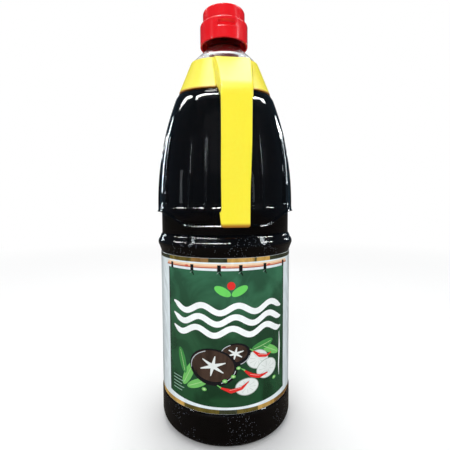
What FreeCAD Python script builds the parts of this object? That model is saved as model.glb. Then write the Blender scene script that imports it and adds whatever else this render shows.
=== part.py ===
import FreeCAD, Part
import math
import os

# A 1.8 litre clear PET bottle of udon sauce, standing and shut: blown bottle, the sauce in it,
# a two-tier flip-top cap, a moulded collar with a hanging strap as handle, and a wrap label.
# Millimetres, +Z up. The origin is the middle of the standing ring, the strap hangs on the -Y side.
# A name ending in _out, _in, _rise or _drop is a step from the size it sits beside.

# ---- bottle: foot and label band ----
label_r = 50.0
label_height = 104.85
label_thick = 0.25
label_clear = 0.05
label_end_gap = 0.25
bumper_out = 0.5
bumper_top = 25.0
bumper_edge = 0.6
heel_r = 8.0
heel_width = 10.0
pushup_height = 14.0
pushup_flat_r = 17.0
pushup_bend_r = 14.0

# ---- bottle: ring, waist and skirt ----
ring_out = 2.6
ring_rise = 7.1
ring_round = 6.0
waist_in = 1.0
waist_rise = 6.8
skirt_out = 1.7
skirt_rise = 6.0
skirt_chamfer = 0.6
pad_half_width = 28.0
pad_rise_width = 44.0
pad_rise = 9.6
ledge_rise = 13.6

# ---- bottle: dome, collar seat, shoulder and neck ----
dome_rise = 0.8
dome_bend_r = 221.0
dome_angle = 21.4
seat_rise = 83.0
seat_depth = 1.84
seat_angle = 22.4
seat_low_rise = 0.4
seat_low_tilt = 8.8
seat_bend_r = 3.0
shoulder_rise = 25.0
neck_r = 13.6
neck_height = 14.5

# ---- bottle: walls ----
base_wall = 0.85
body_wall = 0.8
panel_wall = 0.6
dome_wall = 0.85
neck_wall = 1.6
dome_in_bend_r = 195.0

# ---- the panels round the dome ----
pattern_turn = -6.3
pitch_count = 26
narrow_front = 4
wide_side = 4
narrow_back = 6
rib_width = 2.5
panel_depth = 1.3
panel_foot = 2.2
panel_height = 51.8
panel_mid_rise = 25.8
panel_mid_depth = 0.95

# ---- sauce ----
fill_rise = 10.0

# ---- cap ----
cap_drop = 12.25
cap_height = 15.45
cap_round = 1.3
cap_skirt = 1.4
cap_slot = 1.35
sleeve_wall = 1.6
sleeve_depth = 5.95
neck_clear = 0.15
mouth_gap = 0.1
lid_in = 2.2
lid_height = 9.8
lid_round = 1.5
seam_depth = 0.3
seam_height = 0.5
notch_rise = 7.75
notch_height = 4.2
notch_depth = 1.9
notch_half = 21.0
notch_turn = -1.3
hinge_width = 12.0
hinge_drop = 3.0
hinge_rise = 3.5

# ---- handle: collar ----
collar_thick = 1.15
collar_clear = 0.15
collar_bend_r = 14.0
collar_low_gap = 0.3
collar_low_tilt = 8.6
collar_height = 23.6
collar_top_tilt = 10.6

# ---- handle: strap ----
strap_thick = 2.0
strap_root_rise = 21.0
strap_sink = 0.95
strap_out = 5.9
strap_arm_drop = 31.4
strap_knee_r = 16.0
strap_hang = 31.6
strap_tuck = 61.6
strap_end_gap = 0.3
strap_bend_r = 60.0
strap_end_round = 1.7
foot_half = 9.2
knee_half = 9.8
root_left = 10.4
root_right = 14.2
neck_left = 9.4
neck_right = 14.8
neck_in = 25.6
arm_left = 9.5
arm_right = 11.7
arm_in = 8.6
web_thick = 1.6
web_splay = 1.0
web_low_in = 20.6
web_low_drop = 4.5
web_tip_in = 3.1
web_tip_drop = 16.5
leaf_width = 1.5
leaf_height = 9.8
leaf_thick = 0.8

# ---- radii and heights that follow from those steps ----
bumper_r = label_r + bumper_out
recess_r = label_r - label_thick - label_clear
ring_r = label_r + ring_out
waist_r = label_r - waist_in
skirt_r = label_r + skirt_out
clear_r = skirt_r + 10.0
label_bottom = bumper_top + bumper_edge + label_end_gap
label_top = label_bottom + label_height
ring_z = label_top + ring_rise
waist_bottom = ring_z + waist_rise
skirt_bottom = waist_bottom + skirt_rise
pad_rise_z = skirt_bottom + pad_rise
ledge_z = skirt_bottom + ledge_rise
dome_start = ledge_z + dome_rise
dome_slope = math.tan(math.radians(dome_angle))
dome_corner = dome_start + dome_bend_r * math.tan(math.radians(dome_angle) / 2)
seat_z = dome_start + seat_rise
seat_slope = math.tan(math.radians(seat_angle))
seat_r = skirt_r - (seat_z - dome_corner) * dome_slope - seat_depth
seat_low_mid = seat_z + seat_low_rise
cone_sum = seat_z + seat_r + shoulder_rise * (1 - seat_slope)
neck_top = cone_sum - neck_r + neck_height
fill_level = seat_z + fill_rise


def rounded(points, radii):
    """Edges of an open path in the XZ plane, with a tangent arc of the given radius at each inner corner."""
    vec = [FreeCAD.Vector(p[0], 0, p[1]) for p in points]
    edges = []
    at = vec[0]
    for i in range(1, len(vec) - 1):
        r = radii[i - 1]
        if r <= 0:
            edges.append(Part.LineSegment(at, vec[i]).toShape())
            at = vec[i]
            continue
        a = (vec[i - 1] - vec[i]).normalize()
        b = (vec[i + 1] - vec[i]).normalize()
        half = a.getAngle(b) / 2
        reach = r / math.tan(half)
        start = vec[i] + a * reach
        end = vec[i] + b * reach
        middle = vec[i] + (a + b).normalize() * (r / math.sin(half) - r)
        if (start - at).Length > 1e-6:
            edges.append(Part.LineSegment(at, start).toShape())
        edges.append(Part.Arc(start, middle, end).toShape())
        at = end
    edges.append(Part.LineSegment(at, vec[-1]).toShape())
    return edges


def closed_face(edges):
    """The face inside a path whose two ends are joined by a straight line."""
    first = edges[0].Vertexes[0].Point
    last = edges[-1].Vertexes[-1].Point
    return Part.Face(Part.Wire(edges + [Part.LineSegment(last, first).toShape()]))


def turned(edges):
    """A full turn about Z of the area beside an open path that starts and ends on the axis."""
    return closed_face(edges).revolve(FreeCAD.Vector(0, 0, 0), FreeCAD.Vector(0, 0, 1), 360)


def polygon(points, flat=False):
    """A straight-sided face through points in the XZ plane, or lying flat in the XY plane."""
    vec = [FreeCAD.Vector(a, b, 0) if flat else FreeCAD.Vector(a, 0, b) for a, b in points]
    return Part.Face(Part.makePolygon(vec + vec[:1]))


def above(z_mid, tilt):
    """Everything above a plane through (0, 0, z_mid) that dips to the front by tilt degrees."""
    block = Part.makeBox(300, 300, 300, FreeCAD.Vector(-150, -150, 0))
    block.rotate(FreeCAD.Vector(0, 0, 0), FreeCAD.Vector(1, 0, 0), tilt)
    block.translate(FreeCAD.Vector(0, 0, z_mid))
    return block


def turn(shape, degrees):
    """A copy of a shape turned about the bottle's axis."""
    out = shape.copy()
    out.rotate(FreeCAD.Vector(0, 0, 0), FreeCAD.Vector(0, 0, 1), degrees)
    return out


def cone_r(z, inset=0.0):
    """Radius of the 45 degree shoulder at height z, or of a surface inset from it."""
    return cone_sum - z - inset * math.sqrt(2)


def seat_radius(z, inset=0.0):
    """Radius of the collar's seat at height z, or of a surface inset from it."""
    return seat_r - (z - seat_z) * seat_slope - inset / math.cos(math.radians(seat_angle))


def seat_meets_cone(inset=0.0):
    """The corner where the seat runs into the shoulder, as (radius, height)."""
    z = (cone_sum - inset * math.sqrt(2) - seat_radius(0.0, inset)) / (1 - seat_slope)
    return seat_radius(z, inset), z


# ---- bottle ----
shoulder_z = (cone_sum - skirt_r - dome_corner * dome_slope) / (1 - dome_slope)
outer_path = [
    (0, pushup_height),
    (pushup_flat_r, pushup_height),
    (bumper_r - heel_width, 0),
    (bumper_r, 0),
    (bumper_r, bumper_top),
    (recess_r, label_bottom - label_end_gap),
    (recess_r, label_top + label_end_gap),
    (ring_r, ring_z),
    (waist_r, waist_bottom),
    (waist_r, skirt_bottom - skirt_chamfer),
    (skirt_r, skirt_bottom),
    (skirt_r, dome_corner),
    (cone_sum - shoulder_z, shoulder_z),
    (neck_r, cone_sum - neck_r),
    (neck_r, neck_top),
    (0, neck_top),
]
outer_radii = [pushup_bend_r, 1.0, heel_r, 0.3, 0.3, 0.3, ring_round, 1.0, 0.6, 1.2]
outer_radii += [dome_bend_r, seat_bend_r, 2.0, 0.5]
body = turned(rounded(outer_path, outer_radii))

# The waist is wider at the sides: under the panels the skirt keeps a pad at the front and the back
# whose lower edge is a flat arch.
waist_path = [(0, skirt_bottom - 1), (clear_r, skirt_bottom - 1), (clear_r, ledge_z), (0, ledge_z)]
waist_ring = turned(rounded(waist_path, [0, 0]))
waist_ring = waist_ring.cut(Part.makeCylinder(waist_r, 40, FreeCAD.Vector(0, 0, skirt_bottom - 10)))
arch = [(-clear_r, pad_rise_z), (-pad_rise_width, pad_rise_z), (-pad_half_width, skirt_bottom)]
arch += [(pad_half_width, skirt_bottom), (pad_rise_width, pad_rise_z), (clear_r, pad_rise_z)]
arch_edges = rounded(arch + [(clear_r, ledge_z + 5), (-clear_r, ledge_z + 5)], [6, 12, 12, 6, 0, 0])
pads = closed_face(arch_edges).extrude(FreeCAD.Vector(0, 2 * clear_r, 0))
pads.translate(FreeCAD.Vector(0, -clear_r, 0))
body = body.cut(turn(waist_ring.cut(pads), pattern_turn))


def dome_radius(z):
    """Radius of the dome's plain surface at height z."""
    return skirt_r - dome_bend_r + math.sqrt(dome_bend_r**2 - (z - dome_start) ** 2)


# Panels: shallow bays between narrow ribs, crisp at the ledge and fading out up the dome.
panel_top = ledge_z + panel_height
panel_mid = ledge_z + panel_mid_rise
bay_low = FreeCAD.Vector(skirt_r - panel_depth, 0, ledge_z + panel_foot)
bay_mid = FreeCAD.Vector(dome_radius(panel_mid) - panel_mid_depth, 0, panel_mid)
bay_high = FreeCAD.Vector(dome_radius(panel_top) + 0.15, 0, panel_top)
bay_out = FreeCAD.Vector(skirt_r + 4, 0, panel_top)
bay_lip = FreeCAD.Vector(skirt_r + 4, 0, ledge_z - 2 * panel_foot)
bay_edges = [Part.Arc(bay_low, bay_mid, bay_high).toShape(), Part.LineSegment(bay_high, bay_out).toShape()]
bay_edges += [Part.LineSegment(bay_out, bay_lip).toShape(), Part.LineSegment(bay_lip, bay_low).toShape()]
bay = Part.Face(Part.Wire(bay_edges))
pitch = 360.0 / pitch_count
rib_angle = math.degrees(rib_width / skirt_r)
spans = [1] * narrow_front + [2] * wide_side + [1] * narrow_back + [2] * wide_side
at_angle = -90 - narrow_front / 2 * pitch + pattern_turn
bays = []
for span in spans:
    start = turn(bay, at_angle + rib_angle / 2)
    bays.append(start.revolve(FreeCAD.Vector(0, 0, 0), FreeCAD.Vector(0, 0, 1), span * pitch - rib_angle))
    at_angle += span * pitch
body = body.cut(Part.makeCompound(bays))

# The collar's seat: a band let into the shoulder above a plane that dips to the front.
seat_top_z = seat_meets_cone()[1] + 2
seat_foot_z = seat_z - 12.0
band = [(seat_radius(seat_foot_z), seat_foot_z), (clear_r, seat_foot_z)]
band += [(clear_r, seat_top_z), (seat_radius(seat_top_z), seat_top_z)]
seat_cut = polygon(band).revolve(FreeCAD.Vector(0, 0, 0), FreeCAD.Vector(0, 0, 1), 360)
body = body.cut(seat_cut.common(above(seat_low_mid, seat_low_tilt)))


def cavity(top):
    """The space inside the bottle up to a flat level."""
    body_in_r = recess_r - body_wall
    waist_in_r = waist_r - body_wall
    dome_in_r = skirt_r - panel_depth - panel_wall
    dome_in_z = seat_z - (dome_in_r - seat_radius(seat_z, dome_wall)) / seat_slope
    bore_r = neck_r - neck_wall
    path = [
        (0, pushup_height + base_wall),
        (pushup_flat_r + 0.3, pushup_height + base_wall),
        (bumper_r - heel_width + 0.4, base_wall),
        (body_in_r, base_wall),
        (body_in_r, waist_bottom - 4.0),
        (waist_in_r, waist_bottom + 1.0),
        (waist_in_r, pad_rise_z + 0.3),
        (dome_in_r, ledge_z + 2.0),
        (dome_in_r, dome_in_z),
        seat_meets_cone(dome_wall),
        (bore_r, cone_sum - dome_wall * math.sqrt(2) - bore_r),
        (bore_r, neck_top + 1),
        (0, neck_top + 1),
    ]
    radii = [pushup_bend_r, 1.0, heel_r - base_wall, 2.0, 2.0, 2.0, 2.0, dome_in_bend_r, 4.0, 3.0, 0]
    room = turned(rounded(path, radii))
    return room.cut(Part.makeBox(200, 200, 200, FreeCAD.Vector(-100, -100, top)))


bottle = body.cut(cavity(neck_top + 0.5))
sauce = cavity(fill_level)

# ---- label ----
label_foot = FreeCAD.Vector(0, 0, label_bottom)
label = Part.makeCylinder(label_r, label_height, label_foot)
label = label.cut(Part.makeCylinder(label_r - label_thick, label_height, label_foot))

# ---- cap ----
sleeve_in_r = neck_r + neck_clear
sleeve_out_r = sleeve_in_r + sleeve_wall
skirt_in_r = sleeve_out_r + cap_slot
cap_r = skirt_in_r + cap_skirt
lid_r = cap_r - lid_in
cap_bottom = neck_top - cap_drop
cap_step = cap_bottom + cap_height
lid_top = cap_step + lid_height
lid_seam_top = cap_step + seam_height
cap_path = [
    (0, cap_bottom),
    (cap_r, cap_bottom),
    (cap_r, cap_step),
    (lid_r - seam_depth, cap_step),
    (lid_r - seam_depth, lid_seam_top),
    (lid_r, lid_seam_top),
    (lid_r, lid_top),
    (0, lid_top),
]
cap = turned(rounded(cap_path, [0.3, cap_round, 0, 0, 0.1, lid_round]))
neck_room = Part.makeCylinder(sleeve_in_r, neck_top + mouth_gap - cap_bottom + 5)
neck_room.translate(FreeCAD.Vector(0, 0, cap_bottom - 5))
cap = cap.cut(neck_room)
slot = Part.makeCylinder(skirt_in_r, sleeve_depth + 5)
slot = slot.cut(Part.makeCylinder(sleeve_out_r, sleeve_depth + 5))
slot.translate(FreeCAD.Vector(0, 0, cap_bottom - 5))
cap = cap.cut(slot)
notch_bottom = cap_bottom + notch_rise
notch_top = notch_bottom + notch_height
notch_side = [(cap_r + 1, notch_bottom - 1), (cap_r + 1, notch_top), (cap_r - notch_depth, notch_top)]
notch_face = polygon(notch_side)
notch = turn(notch_face, -90 - notch_half + notch_turn)
notch = notch.revolve(FreeCAD.Vector(0, 0, 0), FreeCAD.Vector(0, 0, 1), 2 * notch_half)
cap = cap.cut(notch)
hinge = Part.makeBox(hinge_width, lid_in + 4, hinge_drop + hinge_rise)
hinge.translate(FreeCAD.Vector(-hinge_width / 2, lid_r - 4, cap_step - hinge_drop))
hinge = hinge.common(Part.makeCylinder(cap_r - 0.4, lid_top))
cap = cap.fuse(hinge).removeSplitter()

# ---- handle: collar ----
collar_low_mid = seat_low_mid + collar_low_gap
collar_top_mid = collar_low_mid + collar_height
inner_corner = seat_meets_cone(-collar_clear)
outer_corner = seat_meets_cone(-collar_clear - collar_thick)
# Drawn from well below to well above, then trimmed by two planes that dip to the front.
low = collar_low_mid - 10.0
high = collar_top_mid + 8.0
collar_in = [(seat_radius(low, -collar_clear), low), inner_corner, (cone_r(high, -collar_clear), high)]
collar_far = -collar_clear - collar_thick
collar_out = [(seat_radius(low, collar_far), low), outer_corner, (cone_r(high, collar_far), high)]
shell = turned(rounded([(0, low)] + collar_out + [(0, high)], [0, collar_bend_r, 0]))
core = turned(rounded([(0, low - 1)] + collar_in + [(0, high)], [0, seat_bend_r, 0]))
low_cut = above(collar_low_mid, collar_low_tilt)
high_cut = above(collar_top_mid, collar_top_tilt)
collar = shell.cut(core).common(low_cut).cut(high_cut)

# ---- handle: strap ----
strap_root_z = seat_z + strap_root_rise
strap_root_r = seat_radius(strap_root_z, collar_far) - strap_sink
strap_out_r = skirt_r + strap_out
strap_in_r = skirt_r + strap_end_gap + strap_thick
strap_knee_z = strap_root_z - strap_arm_drop
strap_end_z = skirt_bottom
strap_high_z = strap_root_z + 21.0


def strap_path(inset):
    """The strap's side profile at a depth below its outer face, as (distance from the axis, height)."""
    slant = math.sqrt(0.5) * inset
    return [
        (strap_root_r - 6 - slant, strap_root_z + 6 - slant),
        (strap_out_r - inset, strap_knee_z - 0.41 * inset),
        (strap_out_r - inset, strap_knee_z - strap_hang),
        (strap_in_r - inset, strap_knee_z - strap_tuck),
        (strap_in_r - inset, strap_end_z),
    ]


def strap_edges(inset, end=()):
    """Edges of the strap's side profile at a depth below its outer face."""
    radii = [strap_knee_r - inset, strap_bend_r - inset, strap_bend_r + inset, strap_end_round]
    return rounded(strap_path(inset) + list(end), radii)


def sideways(face):
    """A side profile, drawn as (distance from the axis, height), laid in the -Y plane and made 60 wide."""
    out = face.copy()
    out.rotate(FreeCAD.Vector(0, 0, 0), FreeCAD.Vector(0, 0, 1), -90)
    solid = out.extrude(FreeCAD.Vector(60, 0, 0))
    solid.translate(FreeCAD.Vector(-30, 0, 0))
    return solid


inner = strap_edges(strap_thick)
outer = strap_edges(0, [(strap_in_r - strap_thick, strap_end_z)])
start_join = Part.LineSegment(inner[0].Vertexes[0].Point, outer[0].Vertexes[0].Point).toShape()
strap_side = Part.Face(Part.Wire(outer + inner[::-1] + [start_join]))


def plan(inset, splay=0.0):
    """The strap's width seen from above, flaring to the right as it nears the collar, drawn in by a wall."""
    right = [
        (root_right + splay, 0),
        (root_right + splay, strap_root_r),
        (neck_right + splay, strap_out_r - neck_in),
        (arm_right, strap_out_r - arm_in),
        (knee_half, strap_out_r + 6),
    ]
    left = [
        (knee_half, strap_out_r + 6),
        (arm_left, strap_out_r - arm_in),
        (neck_left + splay, strap_out_r - neck_in),
        (root_left + splay, strap_root_r),
        (root_left + splay, 0),
    ]
    outline = [(x - inset, -r) for x, r in right] + [(inset - x, -r) for x, r in left]
    return polygon(outline, True).extrude(FreeCAD.Vector(0, 0, strap_high_z))


# Seen from the front, it narrows a little towards its rounded foot.
front = [
    (root_right + 10, strap_high_z),
    (root_right + 10, strap_knee_z + 8),
    (knee_half + 0.2, strap_knee_z - 2),
    (foot_half, strap_end_z),
    (-foot_half, strap_end_z),
    (-knee_half - 0.2, strap_knee_z - 2),
    (-root_right - 10, strap_knee_z + 8),
    (-root_right - 10, strap_high_z),
]
front_solid = closed_face(rounded(front, [0, 0, 1.6, 1.6, 0, 0])).extrude(FreeCAD.Vector(0, clear_r, 0))
front_solid.translate(FreeCAD.Vector(0, -clear_r, 0))
strap = sideways(strap_side).common(plan(0)).common(front_solid)

# Two side webs carry the strap's root down to the collar and taper out before the knee.
below_foot = FreeCAD.Vector(2, 0, strap_end_z)
below_root = FreeCAD.Vector(2, 0, strap_high_z)
beneath = inner + [Part.LineSegment(inner[-1].Vertexes[-1].Point, below_foot).toShape()]
beneath += [Part.LineSegment(below_foot, below_root).toShape()]
web_low_z = seat_z - web_low_drop
web_tip_r = strap_out_r - web_tip_in
web_side = [(4, web_low_z), (strap_out_r - web_low_in, web_low_z), (web_tip_r, seat_z - web_tip_drop)]
web_side += [(web_tip_r + 8, strap_high_z), (4, strap_high_z)]
webs = sideways(polygon(web_side)).common(sideways(closed_face(beneath)))
webs = webs.common(plan(0, web_splay).cut(plan(web_thick, web_splay)))

# A small leaf stands out at the left of the strap's foot.
leaf_side = [(0.5 - foot_half, strap_end_z + 1), (-foot_half - 0.2, strap_end_z + 1)]
leaf_top = strap_end_z + leaf_height
leaf_side += [(-foot_half - leaf_width, leaf_top), (0.5 - foot_half, leaf_top + 1.2)]
leaf = polygon(leaf_side).extrude(FreeCAD.Vector(0, leaf_thick, 0))
leaf.translate(FreeCAD.Vector(0, -strap_in_r + 0.6, 0))

handle = collar.fuse([strap.cut(core).cut(high_cut), webs.cut(core).cut(high_cut), leaf]).removeSplitter()

os.makedirs("parts", exist_ok=True)
pieces = {"bottle": bottle, "sauce": sauce, "cap": cap, "handle": handle, "label": label}
for name, shape in pieces.items():
    solids = shape.Solids
    shape = solids[0] if len(solids) == 1 else shape
    box = shape.BoundBox
    print(name, len(solids), shape.isValid(), round(shape.Volume / 1000, 2), "ml", end=" ")
    print([round(v, 2) for v in (box.XMin, box.XMax, box.YMin, box.YMax, box.ZMin, box.ZMax)])
    shape.exportStep("parts/" + name + ".step")
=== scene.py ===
# %% [markdown]
# # A bottle of udon sauce
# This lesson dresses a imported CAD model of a 1.8 litre sauce bottle: a clear blown bottle full of
# nearly black sauce, a red flip-top cap, a yellow moulded collar with a hanging strap, and a
# printed film label. The CAD model is loaded first and stays as it is. Each main piece made here
# stands for one CAD piece, at its size and in its place, and the print lies on the label.

# %% Load the CAD model
import bpy
import math
import numpy as np
from mathutils import Matrix, Vector


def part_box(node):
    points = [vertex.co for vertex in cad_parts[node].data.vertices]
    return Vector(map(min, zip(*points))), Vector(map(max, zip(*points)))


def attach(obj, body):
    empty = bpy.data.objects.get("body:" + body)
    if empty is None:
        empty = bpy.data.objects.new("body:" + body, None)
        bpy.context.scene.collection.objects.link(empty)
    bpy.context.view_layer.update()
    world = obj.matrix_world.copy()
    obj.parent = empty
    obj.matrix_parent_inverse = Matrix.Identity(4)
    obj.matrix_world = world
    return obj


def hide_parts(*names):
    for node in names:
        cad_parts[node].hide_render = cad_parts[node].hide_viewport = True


MM = 0.001
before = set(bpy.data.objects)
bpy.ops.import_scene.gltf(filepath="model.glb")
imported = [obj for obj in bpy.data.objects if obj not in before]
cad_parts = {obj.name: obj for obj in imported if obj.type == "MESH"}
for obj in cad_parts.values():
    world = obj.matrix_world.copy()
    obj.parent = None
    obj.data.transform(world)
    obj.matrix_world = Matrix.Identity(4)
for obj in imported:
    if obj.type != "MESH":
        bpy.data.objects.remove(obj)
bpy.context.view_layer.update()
print("CAD pieces:", sorted(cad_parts))

# %% [markdown]
# ## The camera
# A handheld phone has a short lens, so the bottle is seen from close by with strong perspective:
# the eye is level with the bottle's waist, looks up at the cap and down at the foot. A camera's
# direction is easiest to set as three turns: to the side, down, and a slight roll of the hand.

# %% Set up the camera
camera_side = -7.6
camera_distance = 258 * MM
camera_height = 165.6 * MM
camera_down = 3.65
camera_roll = -0.34


def turn_about(axis, degrees):
    return Matrix.Rotation(math.radians(degrees), 4, axis)


def new_object(name, data):
    """An object that stands in the scene."""
    thing = bpy.data.objects.new(name, data)
    bpy.context.scene.collection.objects.link(thing)
    return thing


lens = bpy.data.cameras.new("phone_lens")
lens.sensor_width = 36
lens.lens = 26.01
lens.clip_start = 10 * MM
camera = new_object("phone_camera", lens)
side = math.radians(camera_side)
spot = Vector((camera_distance * math.sin(side), -camera_distance * math.cos(side), camera_height))
turn = turn_about("Z", camera_side) @ turn_about("X", 90 - camera_down) @ turn_about("Z", camera_roll)
camera.matrix_world = Matrix.Translation(spot) @ turn
bpy.context.scene.camera = camera
bpy.context.scene.view_settings.view_transform = "Standard"
print("camera at", [round(v, 3) for v in spot])

# %% [markdown]
# ## Wiring nodes
# The room, the floor and every material are networks of nodes. One helper adds a node with its
# inputs. An input is a value, or a pair of a node and its output. Some helpers return such a pair.

# %% Helpers for nodes
def set_inputs(tree, node, inputs):
    """Give a node its inputs: each is a value, or (another node, its output)."""
    for key, value in inputs.items():
        if isinstance(value, tuple) and isinstance(value[0], bpy.types.Node):
            tree.links.new(value[0].outputs[value[1]], node.inputs[key])
        else:
            node.inputs[key].default_value = value


def add_node(tree, kind, inputs=None, **settings):
    """Add a node with its inputs; settings are its own choices."""
    node = tree.nodes.new("ShaderNode" + kind)
    for key, value in settings.items():
        setattr(node, key, value)
    set_inputs(tree, node, inputs or {})
    return node


def object_place(tree):
    return add_node(tree, "TexCoord"), "Object"


def add_math(tree, operation, a, b):
    return add_node(tree, "Math", {0: a, 1: b}, operation=operation), 0


def add_range(tree, value, low, high, **settings):
    """0 where the value is low and 1 where it is high."""
    ends = {"Value": value, "From Min": low, "From Max": high}
    return add_node(tree, "MapRange", ends, **settings), 0


def add_mix(tree, factor, *ends):
    """A mix of two colours; each is three numbers, or (a node, its output)."""
    a, b = (end if len(end) == 2 else (*end, 1) for end in ends)
    return add_node(tree, "Mix", {"Factor": factor, "A": a, "B": b}, data_type="RGBA"), "Result"


def new_material(name, **values):
    """A material, its tree and its shader; values are the shader's inputs, with _ for a space."""
    material = bpy.data.materials.new(name)
    material.use_nodes = True
    tree = material.node_tree
    shader = tree.nodes["Principled BSDF"]
    set_inputs(tree, shader, {label.replace("_", " "): value for label, value in values.items()})
    return material, tree, shader


print("node helpers are ready")

# %% [markdown]
# ## The studio
# A black glossy bottle is a dark mirror: what it shows is the room. So the background is white
# where the eye or a clear wall looks at it, and much dimmer where a glossy face mirrors it, or the
# black would turn grey. Colours are lit by a plain even light from all sides. The floor is grey
# near the bottle, where its shadow lies, and fades to the white of the room further off.

# %% Make the world and the floor
world = bpy.data.worlds.new("studio_room")
bpy.context.scene.world = world
world.use_nodes = True
room_tree = world.node_tree
room_tree.nodes.clear()
rays = add_node(room_tree, "LightPath")


def room_light(colour, strength):
    return add_node(room_tree, "Background", {"Color": (*colour, 1), "Strength": strength})


def choose(ray, otherwise, chosen):
    """The chosen light for rays of one kind, and the other light for the rest."""
    return add_node(room_tree, "MixShader", {"Fac": (rays, ray), 1: (otherwise, 0), 2: (chosen, 0)})


even_light = room_light((0.96, 0.98, 1), 0.7)
mirrored = room_light((0.45, 0.72, 1), 0.06)
seen = room_light((1, 1, 1), 1)
room = choose("Is Glossy Ray", even_light, mirrored)
room = choose("Is Transmission Ray", room, seen)
room = choose("Is Camera Ray", room, seen)
add_node(room_tree, "OutputWorld", {"Surface": (room, 0)})

floor_half = 4
pale_floor, tree, shader = new_material("pale_floor", Roughness=0.8, Specular_IOR_Level=0.1)
rays = add_node(tree, "LightPath")
colour = add_mix(tree, (rays, "Is Glossy Ray"), (0.82, 0.82, 0.82), (0.06, 0.052, 0.045))
set_inputs(tree, shader, {"Base Color": colour})
place = object_place(tree)
distance = add_node(tree, "VectorMath", {0: place}, operation="LENGTH")
fade = add_range(tree, (distance, "Value"), 0.25, 1.3, interpolation_type="SMOOTHSTEP")
far_and_seen = add_math(tree, "MULTIPLY", fade, (rays, "Is Camera Ray"))
white = add_node(tree, "Emission")
mix = add_node(tree, "MixShader", {"Fac": far_and_seen, 1: (shader, 0), 2: (white, 0)})
set_inputs(tree, tree.nodes["Material Output"], {"Surface": (mix, 0)})
floor_mesh = bpy.data.meshes.new("studio_floor")
corners = [(x * floor_half, y * floor_half, 0) for x, y in ((-1, -1), (1, -1), (1, 1), (-1, 1))]
floor_mesh.from_pydata(corners, [], [(0, 1, 2, 3)])
floor_mesh.materials.append(pale_floor)
floor = new_object("studio_floor", floor_mesh)
print("floor and room are ready")

# %% [markdown]
# ## The lamps
# A shop is lit by rows of ceiling tubes. Every rounded edge that faces up draws them as a thin white
# line: one row crosses in front, and two run back on each side. These rows and the narrow upright
# lamps are only mirrored. The colours get their body from wide soft lamps above and in front.

# %% Hang the lamps
row_height = 1.4
upright_reach = 1.4
aim = Vector((0, 0, 0.2))


def hang_lamp(name, start, end, breadth, glow, colour=(1, 1, 1), mirrored=True, lighting=True):
    """A long lamp from start to end that faces the bottle; glow is how bright its face is."""
    start, end = Vector(start), Vector(end)
    middle = (start + end) / 2
    data = bpy.data.lights.new(name, "AREA")
    data.shape = "RECTANGLE"
    data.size = (end - start).length
    data.size_y = breadth
    data.energy = glow * math.pi * data.size * breadth
    data.color = colour
    lamp = new_object(name, data)
    along = (end - start).normalized()
    across = (middle - aim).cross(along).normalized()
    axes = Matrix((along, across, along.cross(across))).transposed().to_4x4()
    lamp.matrix_world = turn_about("Z", camera_side) @ Matrix.Translation(middle) @ axes
    lamp.visible_camera = False
    lamp.visible_glossy = mirrored
    lamp.visible_diffuse = lighting


for name, start, end, breadth, glow in (
        ("tubes_front_left", (-1.05, -0.27), (0.16, -0.62), 0.1, 38),
        ("tubes_side_left", (-1.17, 0.05), (-1.6, 0.83), 0.07, 17),
        ("tubes_front_right", (1.02, -0.22), (1.45, 0.53), 0.1, 22),
        ("tubes_left", (-2.25, 3.1), (-2.85, 5), 0.14, 9),
        ("tubes_right", (1.95, 1.9), (2.4, 3), 0.2, 20)):
    hang_lamp(name, (*start, row_height), (*end, row_height), breadth, glow, lighting=False)
for name, side, low, high, breadth, glow in (
        ("glint_left", -58, 0.55, 0.95, 0.12, 8), ("glint_right", 68, 0.5, 1, 0.16, 9),
        ("rim_left", -136, 0.25, 0.85, 0.1, 9), ("rim_right", 138, 0.3, 0.85, 0.05, 6),
        ("shelf_left", -76, 0.2, 0.5, 0.16, 0.7), ("shelf_right", 48, 0.2, 0.5, 0.1, 0.6)):
    x = upright_reach * math.sin(math.radians(side))
    y = -upright_reach * math.cos(math.radians(side))
    hang_lamp(name, (x, y, low), (x, y, high), breadth, glow, (0.85, 0.93, 1), lighting=False)
hang_lamp("wide_top", (-0.45, 0.35, 1.5), (0.35, 0.35, 1.5), 1.1, 4.2, (1, 0.98, 0.95))
hang_lamp("wide_front", (-1.2, -1.5, 1.2), (0.2, -1.7, 1.2), 1.2, 2.6, mirrored=False)
hang_lamp("wide_side", (1, -1, 0.9), (1.6, -0.2, 0.9), 0.9, 1.1, mirrored=False)

# %% [markdown]
# ## Turned meshes
# Almost every piece here is round, so it is a grid: rings of points, one ring above the other. The
# azimuth is counted from the strap's side, 0 at the front and growing to the right. A side view
# is drawn as straight runs joined by tangent arcs, the way a mould maker draws it.

# %% Helpers for turned meshes
def soft_path(points, radii, step=0.5):
    """Points along straight runs with a tangent arc of the given radius at each inner corner."""
    points = np.array(points, float)
    out = [points[0]]
    for before, corner, after, r in zip(points, points[1:], points[2:], radii):
        a = (before - corner) / np.linalg.norm(before - corner)
        b = (after - corner) / np.linalg.norm(after - corner)
        half = math.acos(max(-1, min(1, float(a @ b)))) / 2
        if r <= 0 or half > math.pi / 2 - 1e-3:
            out.append(corner)
            continue
        centre = corner + (a + b) / np.linalg.norm(a + b) * (r / math.sin(half))
        start = corner + a * (r / math.tan(half)) - centre
        sweep = math.pi - 2 * half
        if a[0] * b[1] - a[1] * b[0] > 0:
            sweep = -sweep
        for t in np.linspace(0, sweep, max(4, int(abs(sweep) * r / step)) + 1):
            c, s = math.cos(t), math.sin(t)
            out.append(centre + np.array([c * start[0] - s * start[1], s * start[0] + c * start[1]]))
    return np.array(out + [points[-1]])


def smooth(x, low, high):
    """0 below low, 1 above high, and a soft ramp between."""
    t = np.clip((x - low) / (high - low), 0, 1)
    return t * t * (3 - 2 * t)


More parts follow.
